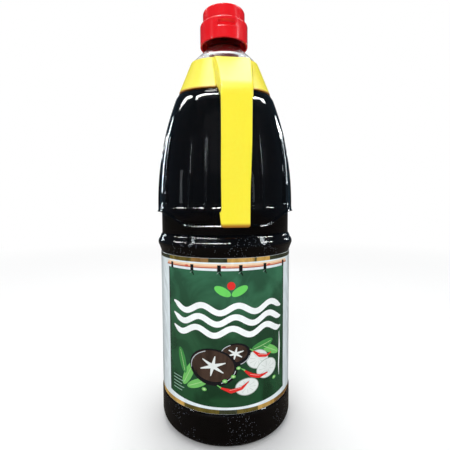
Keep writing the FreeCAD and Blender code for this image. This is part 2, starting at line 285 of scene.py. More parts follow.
def ring_points(azimuth, radius, height):
    """Points in metres at azimuths in degrees from the front, radii and heights in millimetres."""
    a = np.radians(azimuth)
    r, z = np.broadcast_arrays(radius, height)
    return np.stack([r * np.sin(a), -r * np.cos(a), z * np.ones_like(a)], axis=-1) * MM


def rings_along(azimuth, path):
    """A ring for each point of a side view, except those on the axis."""
    return [ring_points(azimuth, r, z) for r, z in path if r > 0.5]


def add_piece(name, points, faces, material):
    """A mesh piece of the bottle, in one material and one slot."""
    mesh = bpy.data.meshes.new(name)
    mesh.from_pydata(points, [], faces)
    mesh.validate()
    mesh.shade_smooth()
    mesh.materials.append(material)
    piece = new_object(name, mesh)
    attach(piece, "root")
    print(name, "has", len(mesh.polygons), "faces")
    return piece


def turned_piece(name, rings, material, start_pole=None, end_pole=None, wrap=False):
    """A piece from rings of points, closed by a point at each end or wrapped back on its first ring."""
    rows, cols = len(rings), len(rings[0])
    points = np.concatenate(rings).tolist()
    j = np.arange(cols)
    k = (j + 1) % cols
    faces = []
    for i in range(rows if wrap else rows - 1):
        a, b = i * cols, ((i + 1) % rows) * cols
        faces += np.stack([a + j, a + k, b + k, b + j], axis=1).tolist()
    last = (rows - 1) * cols
    for pole, one, other in ((start_pole, k, j), (end_pole, last + j, last + k)):
        if pole is not None:
            faces += np.stack([np.full(cols, len(points)), one, other], axis=1).tolist()
            points.append((0, 0, pole * MM))
    return add_piece(name, points, faces, material)


print("a quarter arc of radius 5 has", len(soft_path([(0, 0), (5, 0), (5, 5)], [5])), "points")

# %% [markdown]
# ## Surface effects
# Three effects come back on several pieces: slow ripples from blowing and film that isn't quite
# tight, fine scuffs and finger marks that dull the gloss, and specks of dust. Each is a node group
# with a few inputs, and puts out a value or a normal for the material that uses it.

# %% Build the shared groups
def new_group(name, inputs, output, kind="Float"):
    """A node group with number inputs and one output, and its inner ends."""
    group = bpy.data.node_groups.new(name, "ShaderNodeTree")
    for label in inputs.split():
        group.interface.new_socket(name=label, in_out="INPUT", socket_type="NodeSocketFloat")
    group.interface.new_socket(name=output, in_out="OUTPUT", socket_type="NodeSocket" + kind)
    return group, group.nodes.new("NodeGroupInput"), group.nodes.new("NodeGroupOutput")


def place_group(tree, group, *values):
    """A shared group in a tree; values are its inputs, in their order."""
    return add_node(tree, "Group", dict(enumerate(values)), node_tree=group)


def ripple_group():
    """Slow waves, drawn out upwards when Stretch is below 1, with a fine grain on top."""
    group, given, result = new_group("slow_ripples", "Scale Stretch Height Fine", "Normal", "Vector")
    place = object_place(group)
    split = add_node(group, "SeparateXYZ", {0: place})
    squash = add_math(group, "MULTIPLY", (split, "Z"), (given, "Stretch"))
    join = add_node(group, "CombineXYZ", {0: (split, "X"), 1: (split, "Y"), 2: squash})
    slow = add_node(group, "TexNoise", {
        "Vector": (join, 0), "Scale": (given, "Scale"), "Detail": 2, "Roughness": 0.45})
    fine = add_node(group, "TexNoise", {
        "Vector": place, "Scale": 900, "Detail": 3, "Roughness": 0.6})
    grain = add_math(group, "MULTIPLY", (fine, "Fac"), (given, "Fine"))
    total = add_math(group, "ADD", (slow, "Fac"), grain)
    bump = add_node(group, "Bump", {"Height": total, "Strength": (given, "Height"), "Distance": MM})
    set_inputs(group, result, {0: (bump, 0)})
    return group


def scuff_group():
    """A roughness that is Base where the surface is clean and Amount more in the worst smears."""
    group, given, result = new_group("scuffs_and_smears", "Scale Base Amount", "Roughness")
    place = object_place(group)
    shape = add_node(group, "Mapping", {"Vector": place, "Scale": (1, 1, 0.35)})
    smear = add_node(group, "TexNoise", {
        "Vector": (shape, 0), "Scale": (given, "Scale"), "Detail": 5, "Roughness": 0.62,
        "Distortion": 0.6})
    more = add_math(group, "MULTIPLY", add_range(group, (smear, "Fac"), 0.5, 0.8), (given, "Amount"))
    set_inputs(group, result, {0: add_math(group, "ADD", more, (given, "Base"))})
    return group


def speck_group():
    """Dots in the middles of random cells, kept only where a slow noise passes Share."""
    group, given, result = new_group("specks", "Scale Size Patches Share", "Mask")
    place = object_place(group)
    cells = add_node(group, "TexVoronoi", {
        "Vector": place, "Scale": (given, "Scale"), "Randomness": 1})
    dots = add_math(group, "LESS_THAN", (cells, "Distance"), (given, "Size"))
    patches = add_node(group, "TexNoise", {
        "Vector": place, "Scale": (given, "Patches"), "Detail": 3, "Roughness": 0.6})
    enough = add_math(group, "GREATER_THAN", (patches, "Fac"), (given, "Share"))
    set_inputs(group, result, {0: add_math(group, "MULTIPLY", dots, enough)})
    return group


ripples = ripple_group()
scuffs = scuff_group()
specks = speck_group()


def finish_surface(tree, shader, wave, smear):
    """Ripples of (scale, stretch, height, fine) and smears of (scale, base, amount) for a shader."""
    waves = place_group(tree, ripples, *wave)
    smears = place_group(tree, scuffs, *smear)
    set_inputs(tree, shader, {"Normal": (waves, 0), "Roughness": (smears, 0)})


print("groups:", [g.name for g in bpy.data.node_groups])

# %% [markdown]
# ## The bottle's shape
# The bottle is blown from clear plastic. From the table up it has a round heel, a straight bumper,
# a sunk band for the label, a bulged ring, a waist, and a tall dome. Round the dome stand shallow
# panels between narrow ribs. The dome's skirt dips lower at the front and back, over a flat arch.
# The radius is a function of azimuth and height, so each feature is one term of it.

# %% Sizes of the bottle, in millimetres
label_low, label_high = (v.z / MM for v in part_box("label"))
neck_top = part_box("bottle")[1].z / MM
bumper_r, recess_r, ring_r, waist_r, skirt_r, neck_r = 50.5, 49.7, 51.65, 49, 51.7, 13.6
bumper_top, ring_z, ring_top, skirt_z, rise_z, ledge_z = 25, 136.3, 146.5, 150.6, 160.2, 162.8
dome_z, panel_top = 165, 216
pushup_r, pushup_z, standing_r, heel_top, recess_gap = 17, 14, 40.5, 8.6, 0.25
dome_bend, dome_angle = 221, math.radians(21.4)
seat_r, seat_z, seat_slope = 33.7, 248, math.tan(math.radians(22.4))
seat_low, seat_tilt, collar_reach = 248.4, math.tan(math.radians(8.8)), 36
cone_sum = 296.4
arch_start, arch_end, arch_reach = 25, 47, 52
bead, ledge_depth, ledge_height, panel_more = 0.75, 0.8, 1.16, 0.5
pattern_turn, pitch_count, rib_width, rib_edge = -6.3, 26, 2.5, 1.1
pitch = 360 / pitch_count
panel_spans = [1] * 4 + [2] * 4 + [1] * 6 + [2] * 4
wall = 0.85

low_side = soft_path(
    [(0, pushup_z), (pushup_r, pushup_z), (standing_r, 0), (bumper_r, 0), (bumper_r, bumper_top),
     (recess_r, label_low - recess_gap), (recess_r, label_high + recess_gap), (ring_r, ring_z)],
    [14, 1, 8, 1, 0.3, 0.5], 0.4)
# Up the ring's back the wall leans in by these angles. Two of them are tight bends that catch light.
ring_lean = [(ring_z, -24), (ring_z + 1.4, 0), (139.8, 24), (140.3, 43), (140.7, 43), (141.2, 22),
             (143, 20), (143.5, 42), (143.9, 42), (144.4, 12), (145.4, 0), (180, 0)]
ring_step = 0.1
ring_rows = np.arange(ring_z, ring_top, ring_step)
lean = np.tan(np.radians(np.interp(ring_rows, *zip(*ring_lean))))
ring_side = ring_r - np.cumsum(lean) * ring_step
ring_side += (waist_r - ring_side[-1]) * smooth(ring_rows, 138, 145)
low_side = np.concatenate([low_side, np.stack([ring_side, ring_rows], axis=1), [(waist_r, 180)]])
under_rows = int(np.argmax((low_side[:, 0] > 45) & (low_side[:, 1] > heel_top)))
upright_side = low_side[under_rows:]

# The shoulder is a cone of 45 degrees: on it, radius and height add up to cone_sum.
dome_corner = dome_z + dome_bend * math.tan(dome_angle / 2)
shoulder = (cone_sum - skirt_r - dome_corner * math.tan(dome_angle)) / (1 - math.tan(dome_angle))
high_side = soft_path(
    [(skirt_r, 120), (skirt_r, dome_corner), (cone_sum - shoulder, shoulder),
     (neck_r, cone_sum - neck_r), (neck_r, neck_top - 0.5), (neck_r - 0.4, neck_top)],
    [dome_bend, 3, 2, 0.4], 0.4)


def panel_mask(azimuth, inset):
    """1 inside a panel and 0 on the ribs between them; inset widens the ribs, by degrees."""
    rib = math.degrees(rib_width / skirt_r) / 2
    low, high = rib - rib_edge / 2, rib + rib_edge / 2
    mask = np.zeros_like(azimuth)
    at = -2 * pitch + pattern_turn
    for span in panel_spans:
        offset = (azimuth - at) % 360
        inside = smooth(offset - inset, low, high) * smooth(span * pitch - offset - inset, low, high)
        mask = np.maximum(mask, inside)
        at += span * pitch
    return mask


def bottle_radius(azimuth, z):
    """The bottle's outer radius at azimuths in degrees and heights in millimetres."""
    azimuth, z = np.broadcast_arrays(azimuth, z)
    # The skirt's edge is low in front and behind, and rises to the sides. A thin bead runs along it.
    across = np.abs(arch_reach * np.sin(np.radians(azimuth - pattern_turn)))
    edge = skirt_z + (rise_z - skirt_z) * smooth(across, arch_start, arch_end)
    low = np.interp(z, upright_side[:, 1], upright_side[:, 0])
    high = np.interp(z, high_side[:, 1], high_side[:, 0])
    over = smooth(z, edge - 0.5, edge + 0.4)
    ridge = bead * (1 - np.clip((z - edge - 0.5) / 1, 0, 1))
    r = low + (high + ridge - low) * over
    # The panels start with a straight ledge, go a little deeper and fade out up the dome.
    fade = np.clip((z - ledge_z - 2.2) / (panel_top - ledge_z - 2.2), 0, 1)
    depth = ledge_depth * np.clip((z - ledge_z) / ledge_height, 0, 1)
    depth = depth + panel_more * smooth(z, ledge_z + 1.2, ledge_z + 4.5)
    depth = depth * (1 - fade**1.7)
    r = r - depth * panel_mask(azimuth, 1 * (1 - smooth(z, ledge_z + 0.5, ledge_z + 4)))
    # The collar's seat is a cone above a tilted plane, with the dome rounded over just below it.
    y = -collar_reach * np.cos(np.radians(azimuth))
    over_plane = z - seat_low - seat_tilt * y
    r = r - 0.8 * smooth(over_plane, -5, -0.8) ** 2
    seat = np.minimum(r, seat_r - (z - seat_z) * seat_slope)
    return r + (seat - r) * smooth(over_plane, -0.3, 0.9)


print("radius at the ring", round(float(bottle_radius(0, 138.3)), 2), "and at the skirt",
      round(float(bottle_radius(0, 156)), 2))

# %% [markdown]
# ## Clear plastic
# The plastic is a dense glass with a slight blue cast, never quite clean: smears dull it in places.
# The ripples bend every reflection a little, which is what makes blown plastic look soft.

# %% Clear plastic material
clear_plastic, tree, shader = new_material(
    "clear_blown_plastic", Base_Color=(0.97, 0.98, 0.99, 1), IOR=1.57, Transmission_Weight=1)
finish_surface(tree, shader, wave=(70, 0.25, 0.45, 0.02), smear=(45, 0.02, 0.13))
print("made", clear_plastic.name)

# %% [markdown]
# ## The bottle's wall
# The wall is made in two closed lengths that meet behind the label, where nobody sees the
# joint. The rings are close together only where there is an edge to draw.

# %% Build the wall
columns = 16 * pitch_count
azimuths = pattern_turn + np.arange(columns) * 360 / columns


def heights(*spans):
    """Heights from a list of (start, end, spacing) runs."""
    out = []
    for start, end, gap in spans:
        out += list(np.linspace(start, end, max(2, int(round((end - start) / gap)) + 1))[:-1])
    return out + [spans[-1][1]]


joint_z = 78
inner_r, inner_neck_r = 48.9, 12
inner_low = soft_path(
    [(0, pushup_z + 0.9), (pushup_r + 0.3, pushup_z + 0.9), (standing_r + 0.4, wall), (inner_r, wall),
     (inner_r, joint_z)], [14, 1, 7.15], 1.5)
side_rows = np.array(heights((9, 24, 2.5), (24, 27, 0.3), (27, joint_z, 17)))
rings = rings_along(azimuths, low_side[:under_rows])
rings += [ring_points(azimuths, bottle_radius(azimuths, z), z) for z in side_rows]
rings += rings_along(azimuths, inner_low[::-1])
turned_piece("bottle_foot", rings, clear_plastic, pushup_z, pushup_z + 0.9)

upper_rows = heights((joint_z, 128, 10), (128, 136, 0.8), (136, 144.8, 0.3),
                     (144.8, 149.4, 1.1), (149.4, 153, 0.25), (153, 161, 0.45), (161, 165, 0.3),
                     (165, 168, 0.6), (168, 216, 2.8), (216, 240, 3), (240, 256, 0.55),
                     (256, 272, 1.8), (272, 285, 1), (285, neck_top, 2.5))
inner_high = soft_path(
    [(inner_r, joint_z), (inner_r, 140.6), (48.2, 145.6), (48.2, 160.5), (49.8, 166.2), (49.8, 206.7),
     (22.7, 272.5), (inner_neck_r, 283.2), (inner_neck_r, neck_top)], [2, 2, 2, 2, 195, 4, 3], 6)
rings = [ring_points(azimuths, bottle_radius(azimuths, z), z) for z in upper_rows]
rings += rings_along(azimuths, inner_high[::-1])
bottle_body = turned_piece("bottle_body", rings, clear_plastic, wrap=True)
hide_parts("bottle")

# %% [markdown]
# ## The sauce
# Liquid against clear plastic shows no air gap, so the sauce reaches just into the wall. It
# follows the panels from inside and ends in a flat level with a small meniscus. Light dies in it
# within a millimetre, so an opaque brown-black does. Fine bubbles and dust cling about the ring and
# the foot, as grey specks in patches.

# %% Sauce material and mesh
dark_sauce, tree, shader = new_material(
    "dark_sauce", Base_Color=(0.002, 0.0012, 0.001, 1), Roughness=0.12, IOR=1.38,
    Specular_IOR_Level=0.03)
place = object_place(tree)
cloud = add_node(tree, "TexNoise", {"Vector": place, "Scale": 18, "Detail": 2})
tint = add_mix(tree, (cloud, "Fac"), (0.0008, 0.0006, 0.0008), (0.0032, 0.0016, 0.0014))
split = add_node(tree, "SeparateXYZ", {0: place})
ring_start, ring_end, foot_end = (
    add_range(tree, (split, "Z"), *ends) for ends in ((0.128, 0.13), (0.146, 0.14), (0.026, 0.024)))
ring_zone = add_math(tree, "MULTIPLY", ring_start, ring_end)
zone = add_math(tree, "MAXIMUM", ring_zone, foot_end)
dust = place_group(tree, specks, 760, 0.22, 70, 0.5)
dusty = add_math(tree, "MULTIPLY", zone, (dust, 0))
set_inputs(tree, shader, {"Base Color": add_mix(tree, dusty, tint, (0.15, 0.17, 0.21))})

sink = 0.45
under_wall = 0.4
sauce_columns = 360
sauce_azimuths = np.arange(sauce_columns) * 360 / sauce_columns
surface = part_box("sauce")[1].z / MM - 1
sauce_low = soft_path(
    [(0, pushup_z + sink), (pushup_r + 0.1, pushup_z + sink), (standing_r + 0.2, sink),
     (bumper_r - sink, sink), (bumper_r - sink, 12)], [14, 1, 7.55], 1)
sauce_rows = heights((14, 24, 3), (24, 27, 0.5), (27, 128, 15), (128, 168, 0.8),
                     (168, 240, 3), (240, surface, 0.9))


def sauce_radius(z):
    """Just inside the wall, kept under the sharpest edges by looking a little up and down."""
    near = [bottle_radius(sauce_azimuths + da, z + dz) for da in (-0.8, 0, 0.8) for dz in (-0.7, 0, 0.7)]
    return np.min(near, axis=0) - under_wall


rings = rings_along(sauce_azimuths, sauce_low)
rings += [ring_points(sauce_azimuths, sauce_radius(z), z) for z in sauce_rows]
rim = sauce_radius(surface)
meniscus = ((0.985, 1), (0.96, 0.35), (0.92, 0.08), (0.8, 0), (0.4, 0))
rings += [ring_points(sauce_azimuths, rim * share, surface + climb) for share, climb in meniscus]
sauce = turned_piece("sauce_fill", rings, dark_sauce, pushup_z + sink, surface)
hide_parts("sauce")

# %% [markdown]
# ## The cap
# The cap is one moulding of glossy red plastic: a wide tier that grips the neck and a narrower lid
# on top, shut, with a thumb notch under the lid's front edge and a short hinge behind. Its
# underside is hollow, with an inner sleeve round the neck, because the eye looks up into it.

# %% Cap material and mesh
red_plastic, tree, shader = new_material(
    "red_cap_plastic", Base_Color=(0.8, 0.007, 0.013, 1), Roughness=0.2, IOR=1.5,
    Subsurface_Weight=0.12, Subsurface_Scale=0.001, Subsurface_Radius=(1, 0.15, 0.1),
    Coat_Weight=0.3, Coat_Roughness=0.08)
finish_surface(tree, shader, wave=(160, 1, 0.12, 0.05), smear=(120, 0.16, 0.2))

cap_low, cap_high = (v.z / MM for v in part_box("cap"))
cap_r, lid_r, cap_inner_r, sleeve_r, sleeve_inner_r, seam_r = 18.1, 15.9, 16.7, 15.35, 13.75, 15.6
sleeve_low, roof_low, mouth_z, tier_z = 290.2, 291.6, 297.4, 300.5
notch_middle, notch_half, notch_soft, notch_depth = -1.3, 19.5, 2.5, 1.9
hinge_r, hinge_half, hinge_low, hinge_high = 17.6, 18, 300.6, 304.5
cap_side = soft_path(
    [(0, mouth_z), (sleeve_inner_r, mouth_z), (sleeve_inner_r, sleeve_low), (sleeve_r, sleeve_low),
     (sleeve_r, roof_low), (cap_inner_r, roof_low), (cap_inner_r, cap_low), (cap_r, cap_low),
     (cap_r, 292), (cap_r, 297.2), (cap_r, tier_z), (seam_r, tier_z), (seam_r, tier_z + 0.5),
     (lid_r, tier_z + 0.7), (lid_r, cap_high), (0, cap_high)],
    [0.2, 0.1, 0.1, 0.2, 0.3, 0.15, 0.4, 0, 0, 1.4, 0.1, 0.1, 0.1, 1.6], 0.15)


def fill_rows(path, gap):
    """The same path with long straight runs divided."""
    out = [path[0]]
    for a, b in zip(path[:-1], path[1:]):
        count = max(1, int(np.linalg.norm(b - a) / gap))
        out += [a + (b - a) * (i + 1) / count for i in range(count)]
    return np.array(out)


rings = []
outside = False
for r, z in fill_rows(cap_side, 0.55):
    if r < 0.5:
        continue
    outside = outside or r > cap_r - 0.5
    radius = np.full(columns, r)
    if outside:
        offset = np.abs((azimuths - notch_middle + 180) % 360 - 180)
        reach = smooth(z, 292.4, 296.2) * (1 - smooth(z, 297, 297.5)) * (r > 16.5)
        radius = radius - notch_depth * reach * (1 - smooth(offset, notch_half, notch_half + notch_soft))
        behind = np.abs(azimuths % 360 - 180)
        if r < 16.6 and hinge_low < z < hinge_high:
            hinge = (1 - smooth(behind, hinge_half, hinge_half + 1.5)) * (1 - smooth(z, 303.4, 304.4))
            radius = np.maximum(radius, hinge_r * hinge)
    rings.append(ring_points(azimuths, radius, z))
cap = turned_piece("flip_top_cap", rings, red_plastic, mouth_z, cap_high)
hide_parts("cap")

# %% [markdown]
# ## The handle
# The collar and strap are one soft moulding. Where the strap leaves the collar its corners melt
# together. The CAD piece has the right shape with sharp corners, so a copy is turned into a fine
# even skin of voxels and relaxed a little: that rounds each edge the way a mould does. The thin
# hems of the collar and the strap's foot get a painted amber shade, for the shadow at their edges.

# %% Handle material and mesh
yellow_plastic, tree, shader = new_material(
    "yellow_soft_plastic", Base_Color=(0.93, 0.8, 0.035, 1), Roughness=0.4, IOR=1.5,
    Subsurface_Weight=0.25, Subsurface_Scale=0.002, Subsurface_Radius=(1, 0.6, 0.1))
finish_surface(tree, shader, wave=(90, 0.4, 0.1, 0.25), smear=(60, 0.34, 0.2))
# Painted shade: where the hem_shade mask is 1, the yellow turns a darker amber.
hem_shade = add_node(tree, "Attribute", attribute_name="hem_shade")
cloud = add_node(tree, "TexNoise", {"Scale": 55, "Detail": 3})
tint = add_mix(tree, (cloud, "Fac"), (0.93, 0.77, 0.026), (0.93, 0.82, 0.042))
hem_with_painted_shade = add_mix(tree, (hem_shade, "Fac"), tint, (0.42, 0.15, 0.004))
set_inputs(tree, shader, {"Base Color": hem_with_painted_shade})

voxel = 0.5 * MM
handle = new_object("collar_and_strap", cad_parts["handle"].data.copy())
remesh = handle.modifiers.new("even_skin", "REMESH")
remesh.mode = "VOXEL"
remesh.voxel_size = voxel
remesh.use_smooth_shade = True
relax = handle.modifiers.new("relax", "SMOOTH")
relax.factor = 0.5
relax.iterations = 6
bpy.context.view_layer.update()
soft = bpy.data.meshes.new_from_object(handle.evaluated_get(bpy.context.evaluated_depsgraph_get()))
handle.modifiers.clear()
handle.data = soft
soft.materials.clear()
soft.materials.append(yellow_plastic)
soft.shade_smooth()

strap_foot = 150.6
hem_low, hem_tilt = 248.7, 0.151
spots = np.zeros(len(soft.vertices) * 3)
soft.vertices.foreach_get("co", spots)
x, y, z = spots.reshape(-1, 3).T / MM
# Painted shade mask: 1 along the strap's foot and the collar's lower hem, 0 elsewhere.
foot_edge = (z < strap_foot + 9.4) * (1 - smooth(z, strap_foot + 0.8, strap_foot + 3.4))
above_hem = z - hem_low - hem_tilt * y
collar_edge = (z > 232) * (np.hypot(x, y) < 40.5) * (1 - smooth(above_hem, 0.2, 2))
shade = np.maximum(foot_edge, collar_edge)
soft.attributes.new("hem_shade", "FLOAT", "POINT").data.foreach_set("value", shade)
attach(handle, "root")
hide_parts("handle")
print("handle has", len(soft.polygons), "faces")

# %% [markdown]
# ## The label's film
# The label is a printed film wrapped round the bottle. It is tight in front and slack at the sides,
# where it creases. The creases are in the film's radius, so that ink printed on it follows them.

# %% Film material and mesh
film_r = 50
label_middle = -4.9
# A crease runs from (across, up) to (across, up) on the flat label, with its width and height.
folds = [(-57, 117, -50, 108, 1.1, 0.3), (-59, 112, -51, 102, 1, -0.22), (-56, 99, -50, 92, 0.9, 0.22),
         (-60, 88, -52, 76, 1.2, 0.2), (-57, 70, -51, 60, 1.1, -0.18), (52, 116, 58, 104, 1.1, 0.26),
         (51, 106, 57, 99, 0.9, -0.2), (52, 92, 58, 80, 1.1, 0.2), (51, 70, 57, 62, 1, 0.18),
         (-44, 117, -33, 106, 2.2, -0.14), (38, 113, 44, 98, 2, -0.14), (34, 104, 42, 118, 1.6, 0.1),
         (-40, 60, -30, 74, 2.2, 0.07), (25, 40, 38, 52, 2.4, 0.07), (-62, 104, -54, 106, 1, 0.3),
         (-61, 94, -52, 84, 1, -0.26), (-60, 80, -50, 71, 0.8, 0.24), (-58, 62, -50, 56, 0.9, 0.22),
         (-60, 52, -52, 46, 1, -0.2), (-56, 125, -50, 112, 0.8, 0.2), (50, 124, 57, 119, 0.9, 0.24),
         (50, 100, 60, 88, 1, 0.26), (51, 84, 58, 74, 0.9, -0.22), (50, 66, 57, 54, 0.9, 0.2)]
# The first five creases come back smaller round the other side.
folds += [(u0 + 160, v0 - 6, u1 + 160, v1 - 9, 1.3, 0.15) for u0, v0, u1, v1, *_ in folds[:5]]


def film_radius(azimuth, z):
    """The film's radius: upright creases that grow towards the sides, and a few slanting folds."""
    azimuth, z = np.broadcast_arrays(azimuth, z)
    off = (azimuth - label_middle + 180) % 360 - 180
    slack = smooth(np.abs(off), 50, 72)
    wave = np.sin(np.radians(off * 31) + 0.05 * z) + 0.6 * np.sin(np.radians(off * 53) - 0.11 * z + 1.3)
    wave += 0.5 * np.sin(np.radians(off * 17) + 0.023 * z + 0.6)
    r = film_r + 0.05 * (1 + slack * wave)
    u = np.radians(off) * film_r
    for u0, v0, u1, v1, width, height in folds:
        length = math.hypot(u1 - u0, v1 - v0)
        along = ((u - u0) * (u1 - u0) + (z - v0) * (v1 - v0)) / length
        beside = ((u - u0) * (v1 - v0) - (z - v0) * (u1 - u0)) / length
        ends = smooth(along, -1.5, 2.5) * (1 - smooth(along, length - 2.5, length + 1.5))
        r = r + height * ends * np.exp(-((beside / width) ** 2))
    return r


def film_material(name, colour, rough=0.16, mottle=0.04):
    """Glossy printed film; mottle is how far its colour wanders to both sides."""
    material, tree, shader = new_material(
        name, Base_Color=(*colour, 1), Roughness=rough, IOR=1.5, Coat_Weight=0.25, Coat_Roughness=0.1)
    darker = [c * (1 - mottle) for c in colour]
    lighter = [min(1, c * (1 + mottle)) for c in colour]
    place = object_place(tree)
    # The colour wanders in leaning streaks. On the white film these are painted shade of its creases.
    lean = add_node(tree, "Mapping", {
        "Vector": place, "Rotation": (0, 0.7, 0), "Scale": (1, 1, 0.4)})
    noise = add_node(tree, "TexNoise", {
        "Vector": (lean, 0), "Scale": 130, "Detail": 2, "Distortion": 1.2})
    spread = add_range(tree, (noise, "Fac"), 0.35, 0.65)
    set_inputs(tree, shader, {"Base Color": add_mix(tree, spread, darker, lighter)})
    finish_surface(tree, shader, wave=(110, 0.35, 0.25, 0.03), smear=(70, rough, 0.15))
    return material


film_columns = 480
film_inner_r = 49.78
# Painted shade: the white film's mottle stands in for the shading of its creases.
white_film = film_material("white_film", (0.74, 0.82, 0.85), mottle=0.06)
film_azimuths = np.arange(film_columns) * 360 / film_columns
film_rows = heights((label_low, label_high, 1.5))
rings = [ring_points(film_azimuths, film_radius(film_azimuths, z), z) for z in film_rows]
rings += [ring_points(film_azimuths, film_inner_r, z) for z in (label_high, label_low)]
film = turned_piece("label_film", rings, white_film, wrap=True)
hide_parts("label")

# %% [markdown]
# ## Printing on a round label
# Each printed shape is a thin patch that lies on the film. Three kinds are enough: a sheet between
# two curves, a ribbon along a line, and a filled disc. They are drawn on the flat label in
# millimetres, across from the middle of the front and up from the table, then wrapped round it.

# %% Helpers for printing
ink_step = 0.022


def wrap_round(across, up, layer):
    """Points on the film from places on the flat label; a higher layer lies further out."""
    azimuth = label_middle + np.degrees(across / film_r)
    radius = film_radius(azimuth, up) + ink_step * layer
    return ring_points(azimuth, radius, up)


def ink(name, colour, **more):
    """Printing ink is film of another colour."""
    return film_material("ink_" + name, colour, **more)


def print_sheet(name, left, right, low, high, layer, material, gap=1.2):
    """A sheet from left to right; low and high are heights, or functions of the place across."""
    cols = max(2, int(abs(right - left) / gap) + 2)
    u = np.linspace(left, right, cols)
    bottom = np.array([low(x) if callable(low) else low for x in u], float)
    top = np.array([high(x) if callable(high) else high for x in u], float)
    rows = max(2, int((top - bottom).max() / gap) + 2)
    t = np.linspace(0, 1, rows)[:, None]
    points = wrap_round(np.tile(u, (rows, 1)), bottom + (top - bottom) * t, layer).reshape(-1, 3).tolist()
    faces = [(i * cols + j, i * cols + j + 1, (i + 1) * cols + j + 1, (i + 1) * cols + j)
             for i in range(rows - 1) for j in range(cols - 1)]
    add_piece(name, points, faces, material)


def print_ribbons(name, lines, layer, material, gap=0.5):
    """Ribbons along lines of (across, up, width) points, all in one piece."""
    points, faces = [], []
    for line in lines:
        line = np.array(line, float)
        run = np.concatenate([[0], np.cumsum(np.linalg.norm(np.diff(line[:, :2], axis=0), axis=1))])
        t = np.linspace(0, run[-1], max(3, int(run[-1] / gap)))
        path = np.stack([np.interp(t, run, line[:, k]) for k in range(3)], axis=1)
        along = np.gradient(path[:, :2], axis=0)
        along /= np.linalg.norm(along, axis=1)[:, None] + 1e-9
        across = np.stack([along[:, 1], -along[:, 0]], axis=1) * path[:, 2:3] / 2
        right, left = path[:, :2] + across, path[:, :2] - across
        start = len(points)
        both = np.stack([left, right], axis=1).reshape(-1, 2)
        points += wrap_round(both[:, 0], both[:, 1], layer).tolist()
        faces += [(start + 2 * i, start + 2 * i + 1, start + 2 * i + 3, start + 2 * i + 2)
                  for i in range(len(path) - 1)]
    add_piece(name, points, faces, material)


def print_discs(name, discs, layer, material):
    """Filled ovals (across, up, half width, half height, tilt in degrees), all in one piece."""
    points, faces = [], []
    count = 40
    for u, v, a, b, tilt in discs:
        start = len(points)
        steps = max(2, int(max(a, b) / 1.5) + 1)
        angle = np.arange(count) * 2 * math.pi / count
        flat = [(u, v)]
        c, s = math.cos(math.radians(tilt)), math.sin(math.radians(tilt))
        for k in range(1, steps + 1):
            x, y = a * k / steps * np.cos(angle), b * k / steps * np.sin(angle)
            flat += list(zip(u + c * x - s * y, v + s * x + c * y))
        flat = np.array(flat)
        points += wrap_round(flat[:, 0], flat[:, 1], layer).tolist()
        for j in range(count):
            k = (j + 1) % count
            faces.append((start, start + 1 + j, start + 1 + k))
            for m in range(steps - 1):
                p, q = start + 1 + m * count, start + 1 + (m + 1) * count
                faces.append((p + j, q + j, q + k, p + k))
    add_piece(name, points, faces, material)


def on_oval(u, v, a, b, angle, width):
    """A point of a ribbon, on the oval round (u, v) with half widths a and b, at an angle in radians."""
    return (u + a * math.cos(angle), v + b * math.sin(angle), width)


print("printing helpers are ready; one ink layer is", ink_step, "mm")

# %% [markdown]
# ## The label's fields
# The front has a green field, lighter at the top and darker near the foot: partly its print and
# partly painted light from above. Strips of gold foil edge the label. The foil's gold, olive and
# nearly black stretches along its length are painted reflections of the room.

# %% Print the fields
# Painted reflection: the foil is plain film, and these tones stand in for the room it would mirror.
foil = {tone: ink("foil_" + tone, colour, rough=0.22, mottle=mottle) for tone, colour, mottle in (
    ("gold", (0.5, 0.3, 0.07), 0.25), ("brown", (0.23, 0.12, 0.03), 0.25),
    ("olive", (0.12, 0.09, 0.015), 0.3), ("dark", (0.035, 0.04, 0.018), 0.3))}
half_round = 157


def print_foil(name, low, high, tones):
    """A strip of foil round the label from (tone, end) pairs, each running on from the last."""
    at = -half_round
    for number, (tone, end) in enumerate(tones):
        print_sheet(f"print_foil_{name}_{number}", at, end, low, high, 1, foil[tone], 1.5)
        at = end


print_foil("top", 127.9, label_high - 0.1,
           [("gold", -120), ("dark", -90), ("gold", -72), ("dark", -47), ("olive", -26), ("brown", -13.5),
            ("dark", -1), ("gold", 17.5), ("olive", 19), ("gold", 30), ("dark", 66), ("gold", 95),
            ("olive", 130), ("brown", half_round)])
print_foil("foot", label_low + 0.1, 28.9,
           [("olive", -125), ("gold", -95), ("dark", -70), ("gold", -33), ("olive", -7), ("dark", 5),
            ("olive", 20), ("gold", 35), ("brown", 60), ("dark", 85), ("gold", 120), ("olive", half_round)])

green_field = film_material("ink_green_field", (0.03, 0.1, 0.05))
tree = green_field.node_tree
place = object_place(tree)
split = add_node(tree, "SeparateXYZ", {0: place})
# Partly print, partly painted light: the green is lighter towards the top, where the light falls.
ramp = add_node(tree, "ValToRGB", {"Fac": add_range(tree, (split, "Z"), 0.03, 0.125)})
ramp.color_ramp.elements[0].color = (0.01, 0.056, 0.02, 1)
ramp.color_ramp.elements[1].color = (0.036, 0.15, 0.08, 1)
halfway = ramp.color_ramp.elements.new(0.55)
halfway.color = (0.024, 0.09, 0.041, 1)
# Painted shade: cloudy darker and lighter blotches stand in for the shading of wrinkles in the film.
cloud = add_node(tree, "TexNoise", {
    "Vector": place, "Scale": 42, "Detail": 3, "Distortion": 0.8})
clouds = add_node(tree, "MapRange", {
    "Value": (cloud, "Fac"), "From Min": 0.38, "From Max": 0.62, "To Min": 0.6, "To Max": 1.16})
shade = add_node(tree, "VectorMath", {0: (ramp, "Color"), "Scale": (clouds, 0)}, operation="SCALE")
set_inputs(tree, tree.nodes["Principled BSDF"], {"Base Color": (shade, 0)})

field_left, field_right, field_top, field_low = -48, 46.4, 122.4, 30.6


